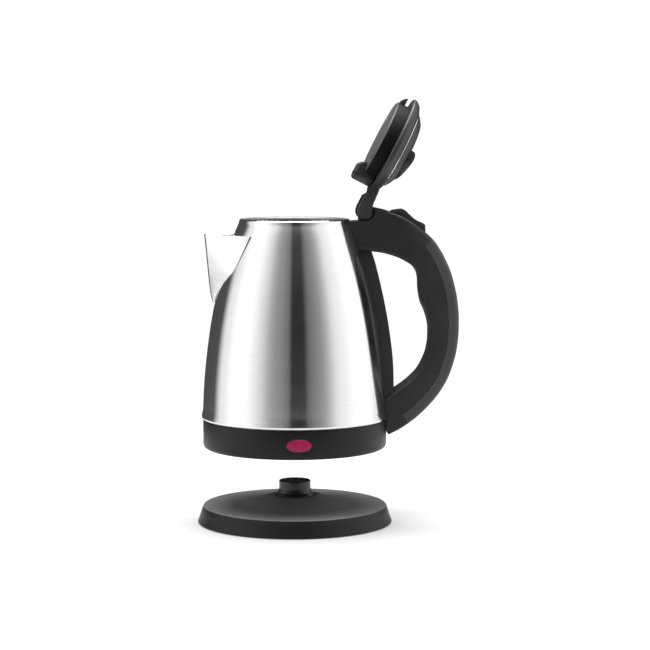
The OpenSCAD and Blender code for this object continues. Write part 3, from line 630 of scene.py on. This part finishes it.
def spout_line(k):
    """Folded sheet at height k: from inside the body along one leg, round the nose and back."""
    level = min(k, SPOUT_TOP)
    seam_x, seam_y = spout_seam(level)
    nose = lookup(NOSE, level)
    fold = math.atan2(seam_y, nose - seam_x)
    nose_r = min(NOSE_R, 0.4 * (nose - seam_x) + 0.8)
    cx = nose_r - nose
    bend = arc(cx, 0, nose_r, 90 + math.degrees(fold), 270 - math.degrees(fold), 12)
    past_seam = 6
    way_in = Vector((math.cos(fold), math.sin(fold)))
    leg = (Vector((-seam_x, seam_y)) - Vector((cx, 0))).dot(way_in) + past_seam
    back = way_in * leg
    forth = Vector((math.cos(fold), -math.sin(fold))) * leg
    return [bend[0] + back] + bend + [bend[-1] + forth]


def spout_wedge(name, levels, inset):
    """Solid through the sheet's line at each level, inside it by the inset."""
    rings = []
    for k in levels:
        line = offset(spout_line(k), -inset) if inset else spout_line(k)
        rings.append([Vector((q.x * MM, q.y * MM, KETTLE_Z + k * MM)) for q in line])
    return loft(name, rings, 50)


def spout_weld(side):
    """Thin weld down one side where the spout meets the body, in the darker steel that paints the seam's shadow
    line.
    """
    line = []
    for k in (SPOUT_TOP - 0.6, 172, 167, 160, 153, 146, 139.6, 133, 128, 124, 120.5):
        x, y = spout_seam(k)
        line.append(Vector((-x, side * y, k)) * MM + Vector((0, 0, KETTLE_Z)))
    line = smooth(line, 3)
    rings = []
    for i, p in enumerate(line):
        along = (line[min(i + 1, len(line) - 1)] - line[max(i - 1, 0)]).normalized()
        out = along.cross(Vector((0, 0, 1))).normalized()
        up = out.cross(along)
        rings.append([p + (out * math.cos(a) + up * math.sin(a)) * WELD_R * MM
                      for a in (2 * math.pi * j / 12 for j in range(12))])
    return loft("spout_weld", rings, 60)


def spout():
    """Folded sheet with an open top, cut where it meets the body, and its two welds."""
    levels = [118.8, 120, 121.5, 124, 128, 133, 139.6, 146, 153, 160, 167, 172, SPOUT_TOP]
    sheet = spout_wedge("spout_sheet", levels, 0)
    hollow = spout_wedge("hollow", levels[2:] + [180], WALL)
    cut(sheet, hollow, steel_blank(-0.25), sharp=50)
    round_edges(sheet, 0.2, 2, 70)
    for side in (-1, 1):
        # The welds are coloured with painted shade: a dark line where the seam's shadow falls
        finish_piece(spout_weld(side), "kettle", "steel", MATS["dull_steel_painted_shade"])
    return finish_piece(sheet, "kettle", "steel", MATS["steel"], "spout")


# ---------- Ring and lens ----------

RING_H = 24.0
RING_R = 75.4
# Height of the lens's middle, and its width and height
LENS_K = 11.6
LENS_SIZE = (20.8, 11.0)


def oval_rings(width, height, profile, y_face, z, steps=64):
    """Rings of an oval button facing -Y: profile is (inset, depth) in millimetres."""
    out = []
    for inset, depth in profile:
        out.append([Vector(((width / 2 - inset) * math.cos(a) * MM, (y_face + depth) * MM,
                            z + (height / 2 - inset) * math.sin(a) * MM))
                    for a in (2 * math.pi * i / steps for i in range(steps))])
    return out


def lower_ring():
    """Plastic ring under the steel, with holes for the lens and for the wires to the handle."""
    wall, shelf, foot_r, shelf_r = 2.4, 2, 68, 69.5
    inside = RING_R - wall
    outline = rounded([(foot_r, 0, 0.4), (RING_R, 0, 4.6), (RING_R, RING_H, 0.7), (shelf_r, RING_H, 0.2),
                       (shelf_r, RING_H - shelf, 0), (inside, RING_H - shelf, 0), (inside, wall, 1.5),
                       (foot_r, wall, 0.2)])
    ring = lathe("lower_ring_shell", outline, segments=192)
    width, height = (size + 1.0 for size in LENS_SIZE)
    lens_z, wire_z = KETTLE_Z + LENS_K * MM, KETTLE_Z + 0.015
    lens_hole = loft("lens_hole", oval_rings(width, height, [(0, -6), (0, 8)], -RING_R, lens_z))
    wire_hole = cylinder_between("wire_hole", (0.066, 0, wire_z), (0.08, 0, wire_z), 3 * MM)
    cut(ring, lens_hole, wire_hole)
    # The ring takes the darker copy of the black plastic, painted shade
    return finish_piece(ring, "kettle", "black_plastic", MATS["ring_plastic_painted_shade"], "lower_ring")


def lens():
    """Crowned window in a thin dark bezel."""
    z = KETTLE_Z + LENS_K * MM
    w, h = LENS_SIZE
    crown = [(0.45, 4.2), (0.45, 0.3), (0.55, -0.1), (1.0, -0.38), (1.8, -0.55), (2.8, -0.66),
             (4.0, -0.72)]
    glass = loft("indicator_window", oval_rings(w, h, crown, -RING_R, z), 60)
    finish_piece(glass, "kettle", "lens", MATS["lens"], "indicator_lens")
    rim = [(0.4, 3.0), (0.4, -0.15), (0.3, -0.25), (0.05, -0.25), (-0.2, -0.1), (-0.4, 0.2), (-0.4, 1.0),
           (-0.4, 3.0)]
    rings = oval_rings(w, h, rim, -RING_R, z)
    bezel = loft("indicator_bezel", rings + [rings[0]], 60)
    drop_caps(bezel)
    return finish_piece(bezel, "kettle", "black_plastic", MATS["bezel"])


def drop_caps(obj):
    """Removes the two end faces of a loft whose first and last rings meet, and welds them."""
    bm = bmesh.new()
    bm.from_mesh(obj.data)
    caps = [f for f in bm.faces if len(f.verts) > 4]
    bmesh.ops.delete(bm, geom=caps, context="FACES_ONLY")
    bmesh.ops.remove_doubles(bm, verts=bm.verts, dist=1e-7)
    bmesh.ops.recalc_face_normals(bm, faces=bm.faces)
    bm.to_mesh(obj.data)
    bm.free()
    shade(obj, 60)


# ---------- Handle ----------

HALF_W = 14.5
# The grip's cover reaches this deep from the outer edge
CREASE = 9.5
# How the sides of the grip narrow towards its outer edge
CURVE_DEPTH = 26.0
CURVE_IN = 4.2
BEVEL_IN = 1.2
# Pairs of points across the grip from its top to its foot: x and k at the outer edge, then at the inner
STATIONS = [
    (44, 202, 44, 163), (56, 199.6, 56, 162.8), (66, 197.1, 63.5, 161.6),
    (77.4, 194.2, 73, 160.1), (90, 188.8, 84, 156.6), (99.5, 183, 91.5, 152.6),
    (107.2, 176.8, 96.6, 149.4), (114.4, 169.7, 100.2, 144.8), (118.8, 163.2, 101.5, 140.4),
    (122.6, 156.6, 101.9, 136.6), (128.3, 143.5, 102.3, 128.7), (132.6, 127, 104.2, 119),
    (134.5, 113, 107.6, 111), (134.9, 103, 110.2, 101.5), (134.7, 94, 110.6, 92),
    (133.9, 85.6, 109.9, 84), (132.0, 74.5, 107.8, 75.6), (126.7, 58.2, 102.2, 64.4),
    (119.3, 45.1, 95.6, 57.2), (111.1, 35.3, 89.6, 52.2), (100.5, 25.4, 84, 48.4),
    (91.4, 18.9, 79.5, 45.2), (83.5, 14.2, 74, 40), (76.6, 10.7, 66, 33),
]


def grip_half_w(d, share):
    """Half width of the grip at depth d below its outer edge; share is how far it narrows there."""
    curve = max(0.0, 1 - d / CURVE_DEPTH)
    bevel = max(0.0, 1 - d / CREASE)
    return HALF_W - share * (CURVE_IN * curve**2 + BEVEL_IN * bevel)


def grip_section(thick, share):
    """Outline of the grip across it: (depth from the outer edge, y)."""
    edge_w = grip_half_w(0, share)
    side = points((0.35, edge_w - 1.3), (0.9, edge_w - 0.4))
    depths = [2, 4, 6, 8, 9, 10, 12, 14, 16.5, 19]
    round_deep, round_wide = 3.2, 2.6
    last = thick - round_deep
    side += [Vector((d, grip_half_w(d, share))) for d in depths + [0.5 * (depths[-1] + last), last]]
    width = grip_half_w(last, share)
    side += [Vector((last + round_deep * math.sin(a), width - round_wide * (1 - math.cos(a))))
             for a in (math.radians(t) for t in (18, 36, 54, 72, 90))]
    back = edge_w - 2.8
    first = [Vector((0, back * t)) for t in (-1, -0.5, 0, 0.5, 1)]
    inner = [Vector((thick, side[-1].y * t)) for t in (0.5, 0, -0.5)]
    return first + side + inner + [Vector((q.x, -q.y)) for q in side[::-1]]


def grip_ring(x_out, k_out, x_in, k_in):
    """The grip's section at one station. It narrows little near the body and fully on the far side."""
    outer, inner = Vector((x_out, k_out)), Vector((x_in, k_in))
    along = (inner - outer).normalized()
    narrow_from, narrow_over, least = 84, 35, 0.15
    share = min(max((x_out - narrow_from) / narrow_over, least), 1.0)
    ring = []
    for q in grip_section((inner - outer).length, share):
        side = outer + along * q.x
        ring.append(Vector((side.x, q.y, side.y)) * MM + Vector((0, 0, KETTLE_Z)))
    return ring


def spine_band(name, grow):
    """Slice along the outer edge of the grip, which is its cover; the cover's lighter plastic is painted light
    from above.
    """
    line = smooth([(113, 171.4), (118.5, 163.6), (122.6, 156.6), (128.3, 143.5), (132.6, 127),
                   (134.7, 110), (134.7, 94), (132.6, 77.5), (126.7, 58.2), (119.3, 45.1), (111.1, 35.3),
                   (100.5, 25.4), (93, 20)], 5)
    clear_of_grip = -8
    outline = offset(line, clear_of_grip) + offset(line, CREASE + grow)[::-1]
    return side_slab(name, outline, HALF_W + 3)


def strap_outline():
    """Two corners inside the steel, then the strap's outer edge from its foot up."""
    top, foot = 164.5, 24.7
    edge = smooth([(59.6, top), (61.4, 159.5), (64.4, 150), (69.2, 130.4), (73, 112), (76, 93.5),
                   (78.3, 74.6), (79.1, 58.2), (79.1, 42), (79.1, foot)], 5)
    return points((44, top), (60, foot)) + edge[::-1]


def pin_point():
    """The hinge pin's (x, k) in millimetres."""
    return HINGE.x / MM, (HINGE.z - KETTLE_Z) / MM


def pocket_solid():
    """Round pocket that the lid's arm swings in, open to both sides."""
    hx, hk = pin_point()
    r, inside, over = 7.5, 30, 215
    outline = points((inside, 185.8), (44, 186.0), (hx - 2, hk - r)) + arc(hx, hk, r, -90, 0, 14)
    outline += points((hx + 7.0, 197.0), (hx + 7.0, over), (inside, over))
    return side_slab("pocket", outline, HALF_W + 3)


def hinge_lug():
    """Block in the middle of the pocket that holds the hinge pin."""
    hx, hk = pin_point()
    r, half_w, reach_down = 5, 7, 10
    outline = points((hx - r, hk - reach_down), (hx + 9.5, hk - reach_down), (hx + 8.7, hk - 0.5))
    outline += arc(hx, hk, r, 70, 180, 14)
    return side_slab("hinge_lug", outline, half_w, 0.6, 3)


def rocker_opening():
    """Room for the rocker in the top of the handle."""
    lid_end, grip_end, over = 77.6, 107.6, 204
    outline = rounded([(80, 186.5, 2), (98, 176, 2), (grip_end, 171.5, 0), (grip_end, over, 0),
                       (lid_end, over, 0)])
    return side_slab("opening", outline, 9.6)


def handle():
    """The grip, cut to fit its neighbours and parted into a shell and a cover, and the hinge's lug."""
    grip = loft("grip", [grip_ring(*station) for station in smooth(STATIONS, 5)])
    strap_room = side_slab("strap_room", strap_outline(), 11.25)
    cut(grip, steel_blank(0.15, 30), strap_room, pocket_solid(), rocker_opening())
    cover = copy_of(grip, "handle_spine")
    cut(cover, spine_band("band", -0.12), operation="INTERSECT")
    shell = cut(grip, spine_band("band", 0.12))
    shell.name = "handle_body"
    # The cover takes the lighter plastic, painted light on the grip's upper edge
    finish_piece(cover, "kettle", "cover_plastic", MATS["cover_plastic"], "handle_cover")
    finish_piece(hinge_lug(), "kettle", "black_plastic", MATS["black_plastic"])
    return finish_piece(shell, "kettle", "black_plastic", MATS["black_plastic"], "handle_shell")


def strap():
    """Strap down the steel: a flat bed with a narrower raised rib along it."""
    edge = strap_outline()
    bed = side_slab("strap_bed", edge[:2] + offset(edge[2:], 1.7), 11, 0.8, 3)
    rib = side_slab("strap_rib", edge, 7.6, 1.8, 4)
    cut(bed, rib, operation="UNION")
    cut(bed, steel_blank(0.05))
    bed.name = "steel_strap"
    return finish_piece(bed, "kettle", "black_plastic", MATS["black_plastic"], "handle_strap")


def rocker():
    """Rocker cap with a raised end towards the lid and a sloping end towards the grip."""
    top = smooth([(78.6, 193.2), (80.0, 194.8), (84, 195.5), (88.2, 195.9), (90.2, 195.0), (94, 191.4),
                  (98.5, 187.6), (105.0, 184.4), (106.6, 182.8)], 5)
    under = points((106.9, 175.8), (104.2, 175.8), (97, 179.6), (88, 185.2), (81, 189.2), (78.4, 190.6))
    cap = side_slab("rocker_cap", top + under, 9, 0.8, 3)
    # The cap takes the lighter plastic, painted light from above
    return finish_piece(cap, "switch_rocker", "rocker_plastic", MATS["rocker_plastic"], "switch_rocker")


# ---------- Lid ----------

# The lid's own frame has its centre at the flange's underside and +X towards the hinge
LID = (Matrix.Translation(HINGE) @ Matrix.Rotation(LID_OPEN, 4, "Y")
       @ Matrix.Translation((-HINGE.x, 0, -HINGE_RISE)))
UNMOVED = Matrix.Identity(4)
DOME_TOP = 16.8
# Inner radius of the rim's top, where the bright ring sits
RIM_SEAT_R = 34.3


def lid_lathe(name, outline):
    """Outline turned about the lid's own axis, and placed on the open lid."""
    obj = lathe(name, outline, 0.0)
    place(obj, LID)
    return obj


def lid_slab(name, outline, half_w, bevel=0.0, steps=3):
    """Slab in the lid's own frame, not yet placed on the open lid."""
    return side_slab(name, outline, half_w, bevel, steps, UNMOVED)


def block(x0, k0, x1, k1):
    """Corners of an upright rectangle."""
    return points((x0, k0), (x1, k0), (x1, k1), (x0, k1))


def drum(name, r, low, high):
    """Solid cylinder about the lid's own axis, not yet placed."""
    return lathe(name, points((0, low), (r, low), (r, high), (0, high)), 0.0)


def lid_flange():
    """The lid's rim and the fork-shaped arm on it."""
    outline = rounded([(31, 0, 0.3), (41.8, 0, 0.5), (42.4, 0.9, 0.7), (41.9, 3.2, 2.5), (38.9, 6.7, 3.5),
                       (34.6, 8.4, 0.3), (RIM_SEAT_R, 8.4, 0), (RIM_SEAT_R, 7.8, 0), (30.6, 7.8, 0),
                       (30.6, 6, 0), (34.4, 6, 0), (39.6, 2.2, 0), (31, 2.2, 0)])
    rim = lid_lathe("lid_rim", outline)
    finish_piece(rim, "lid", "black_plastic", MATS["lid_plastic"], "lid_flange")
    # The arm takes the lighter plastic, painted light on its lit face
    return finish_piece(lid_arm(), "lid", "black_plastic", MATS["cover_plastic"])


def lid_arm():
    """Arm from the rim to the hinge, with two cheeks that close round the handle's lug."""
    eye_r, half_w, cheek, room_r = 6.9, 11.8, 2.6, 7.6
    hx, hz = HINGE.x / MM, HINGE_RISE / MM
    outline = arc(hx, hz, eye_r, -88, 100, 20)
    outline += points((53.4, 10.8), (50, 8.6), (38, 7.8), (35.4, 7.4), (35.4, 0.6), (43.4, 0.6),
                      (44.8, -0.4), (46.2, -1.5), (hx - 1, -1.6))
    arm = lid_slab("lid_fork", outline, half_w, 0.9)
    inner = half_w - cheek
    cut(arm, lid_slab("slot", block(45.6, -12, 72, hz - 0.6), inner),
        lid_slab("eye_room", arc(hx, hz, room_r, 0, 350, 35), inner))
    place(arm, LID)
    return arm


def dome_line(rise=0.0):
    """Outside of the domed cap from its edge in, raised by the given height."""
    return smooth([(33, 9 + rise), (31.6, 10.5 + rise), (28.4, 12.9 + rise), (24.6, 14.8 + rise),
                   (18, 16 + rise), (10, 16.6 + rise), (4, DOME_TOP + rise)], 4)


def lid_cap():
    """Domed cap with a slot for the release's stem, and the bright ring round its foot."""
    outline = points((30.6, 8.8), (32.9, 8.8)) + dome_line() + points((0, DOME_TOP), (0, DOME_TOP - 2))
    outline += smooth([(10, 14.6), (18, 13.9), (23.6, 12.7), (28.6, 10.3)], 3)
    cap = lid_lathe("lid_dome", outline)
    cut(cap, side_slab("slot", block(-4, 10, 8, 20), 5.4, to_world=LID))
    finish_piece(cap, "lid", "black_plastic", MATS["lid_plastic"], "lid_cap")
    inside, low, high = 31, 7.9, 8.9
    outline = rounded([(inside, low, 0), (RIM_SEAT_R, low, 0.2), (RIM_SEAT_R, high, 0.4), (inside, high, 0)])
    ring = lid_lathe("lid_bright_ring", outline)
    return finish_piece(ring, "lid", "lid_ring", MATS["lid_ring"], "lid_trim_ring")


def thumb_ridge():
    """Half-moon release that follows the dome, with a stem down through its slot."""
    r, start, under_k, gap = 24.2, -3.4, 11.5, 0.3
    outline = smooth([(start, 15.5), (-3.2, 17.7), (-1.6, 19.4), (1.6, 20.2), (5, 20.2), (10, 19.4),
                      (19, 17.4), (23, 15.7), (24.4, 14.4)], 4)
    outline += points((24.4, under_k), (start, under_k))
    ridge = lid_slab("thumb_crescent", outline, 26)
    cut(ridge, drum("drum", r, 0, 40), operation="INTERSECT")
    dome = points((0, 0), (33.3, 0)) + dome_line(gap) + points((0, DOME_TOP + gap))
    cut(ridge, lathe("under", dome, 0.0))
    round_edges(ridge, 0.7, 3, 50)
    cut(ridge, lid_slab("stem", block(-3, 15.1, 4, 18), 4.8), operation="UNION")
    place(ridge, LID)
    return finish_piece(ridge, "lid_latch", "black_plastic", MATS["lid_plastic"], "thumb_ridge")


def lid_lining():
    """Lining under the lid, with the latch's window and four screw recesses. Its skirt takes a near-black copy of
    the lining's plastic, painted shade.
    """
    depth, r, wall, lip_k = 11.2, 34.2, 2, -0.15
    screw_at, recess_r = 26.4 * MM, 3.1 * MM
    outline = rounded([(0, -depth, 0), (r - 1.4, -depth, 0.25), (r, 1.1 - depth, 0.3), (r, lip_k, 0.2),
                       (r - wall, lip_k, 0), (r - wall, wall - depth, 0), (0, wall - depth, 0)])
    lining = lid_lathe("lid_lining", outline)
    tools = [side_slab("window", block(-40, -9.8, -31, -4.2), 6.3, to_world=LID)]
    for turn in (45, 135, 225, 315):
        a = math.radians(turn)
        x, y = screw_at * math.cos(a), screw_at * math.sin(a)
        recess = cylinder_between("recess", (x, y, -0.014), (x, y, -0.0095), recess_r)
        place(recess, LID)
        tools.append(recess)
    cut(lining, join(tools))
    finish_piece(lining, "lid", "lid_lining", MATS["lid_lining"], "lid_inner")
    middle = LID @ Vector((0, 0, -0.005))
    down = (LID.to_3x3() @ Vector((0, 0, -1))).normalized()

    def on_skirt(face):
        return abs(face.normal.dot(down)) < 0.3 and (face.center - middle).length > 0.03

    # The skirt's faces take the near-black copy: painted shade
    second_material(lining, MATS["lid_skirt_painted_shade"], on_skirt)
    return lining


def steam_duct():
    """Wide box round the hinge side of the lining, with a steam slit in its underside."""
    r, half_w, lining_k, top_k = 38, 19, -11.3, -1.2
    outline = rounded([(21.6, lining_k, 0), (21.6, -13.2, 1.5), (25, -16.4, 2.5), (36.6, -16.8, 1),
                       (r, -15.4, 1), (r, top_k, 0), (25, top_k, 0), (25, lining_k, 0)])
    duct = lid_slab("steam_duct", outline, half_w)
    cut(duct, drum("drum", r, -30, 0), operation="INTERSECT")
    cut(duct, drum("skirt", 34.4, lining_k, 5))
    round_edges(duct, 0.5, 3, 50)
    cut(duct, lid_slab("slit", block(32.2, -20, 33.4, -15.4), half_w - 1.5))
    place(duct, LID)
    return finish_piece(duct, "lid", "black_plastic", MATS["black_plastic"], "lid_steam_duct")


def latch_nose():
    """Latch slide with its nose away from the hinge and the stem up to the thumb release."""
    outline = rounded([(-40.4, -4.6, 0.4), (-38.8, -6.8, 2), (-36.4, -8.6, 2), (-34, -9.2, 0.5),
                       (-32, -8.6, 0), (6, -8.6, 0), (6, -4.6, 0)])
    slide = lid_slab("latch_slide", outline, 6.0, 0.3, 2)
    cut(slide, lid_slab("stem", block(-3.6, -4.8, 4.4, 15), 5), operation="UNION")
    place(slide, LID)
    return finish_piece(slide, "lid_latch", "under_plastic", MATS["under_plastic"], "lid_latch")


# ---------- Power base ----------

# The darker copy of the base's plastic, painted shade on its side, ends at this height
BASE_SHADE_TO = 14.0


def base_top():
    """Cover of the base with its low cone and the cord's inlet. Its top is lightened as painted light, in place of
    the lamp the hovering kettle shades off it, and its side darkened as painted shade.
    """
    outline = rounded([
        (80.4, 0.4, 0.6), (79.3, 3, 6), (78, 6.8, 20), (76.9, 10.6, 20), (75.4, 14.5, 1.4),
        (45.6, 14.5, 3), (43.4, 14.9, 4), (23.4, 21.5, 5), (20.6, 22.5, 1.5), (17.9, 22.5, 0.5),
        (17.4, 21.9, 0.2), (16.2, 21.9, 0), (16.2, 19.7, 0), (21.6, 19.7, 0), (43.4, 12.5, 0),
        (45.2, 12.3, 0), (73.6, 12.3, 0), (75.6, 6.8, 0), (77, 3, 0), (78.1, 0.4, 0.4)])
    top = lathe("base_cover", outline, 0.0, 192)
    inlet_z = 0.0072
    cut(top, cylinder_between("inlet", (0, 0.06, inlet_z), (0, 0.09, inlet_z), 4.95 * MM))
    finish_piece(top, "power_base", "base_plastic", MATS["base_plastic"], "base_top")
    # The faces low on the side take the darker copy, painted shade
    second_material(top, MATS["base_side_painted_shade"], lambda face: face.center.z < BASE_SHADE_TO * MM)
    return top


def connector():
    """Column on the base, with two ring grooves and a hole for the contacts."""
    r, top, foot = 13.1, 34.6, 22.5
    slot_foot = top - 12.6
    outline = rounded([
        (2.3, 14, 0), (15.8, 14, 0), (15.8, foot - 4.9, 0), (20.4, foot - 4.9, 0), (20.4, foot - 3, 0),
        (15.9, foot - 3, 0), (15.9, foot + 0.2, 0.4), (14.4, foot + 2.2, 1.5), (r, foot + 5.2, 2),
        (r, top, 0.8), (11.4, top, 0.25), (11.3, slot_foot, 0), (9.2, slot_foot, 0), (9.1, top, 0.25),
        (7.3, top, 0.25), (7.2, slot_foot, 0), (4.9, slot_foot, 0), (4.8, top, 0.25), (2.4, top, 0.25)])
    column = lathe("connector_column", outline, 0.0, 128)
    material = MATS["connector_plastic"]
    return finish_piece(column, "power_base", "connector_plastic", material, "base_connector")


# ---------- The whole scene ----------


def dress_cad_nodes():
    """Gives every CAD node the material of its slot in the record."""
    for part in frame["record"]["subparts"]:
        obj = frame["nodes"][part["node"]]
        material = MATS[part["material_slot"]]
        if not obj.material_slots:
            obj.data.materials.append(material)
        for s in obj.material_slots:
            s.material = material


bpy.context.scene.view_settings.view_transform = "Standard"
make_camera()
make_materials()
dress_cad_nodes()
body_shell()
spout()
lower_ring()
lens()
handle()
strap()
rocker()
lid_flange()
lid_cap()
thumb_ridge()
lid_lining()
steam_duct()
latch_nose()
base_top()
connector()
make_floor()
make_lights()
